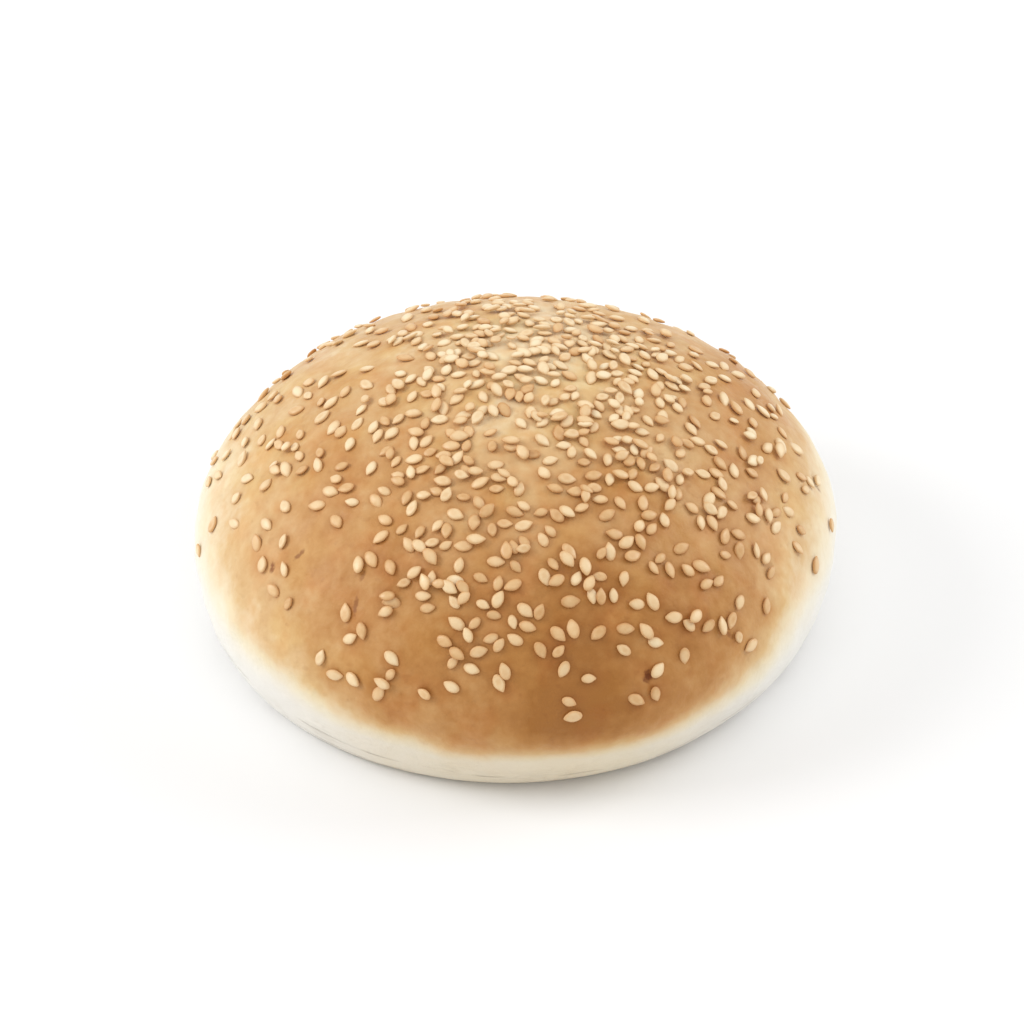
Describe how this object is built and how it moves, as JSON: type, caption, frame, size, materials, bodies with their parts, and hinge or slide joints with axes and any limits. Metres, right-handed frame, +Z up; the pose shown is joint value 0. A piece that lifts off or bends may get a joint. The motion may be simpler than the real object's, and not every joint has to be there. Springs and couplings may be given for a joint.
{
  "type": "hamburger bun",
  "caption": "Whole round hamburger bun: a browned dome strewn with sesame seeds over a pale soft side and a flat base it rests on.",
  "frame": {"origin": "middle of the flat base", "axes": "+Z up, -Y to the front shown in the picture, +X to its right"},
  "size_m": [0.103, 0.1021, 0.0478],
  "materials": {
    "crust": "satin baked crust, golden brown on top and cream at the side and base",
    "sesame": "smooth hulled seed, cream to pale gold"
  },
  "bodies": {
    "root": {"bun": "crust"}
  },
  "joints": []
}
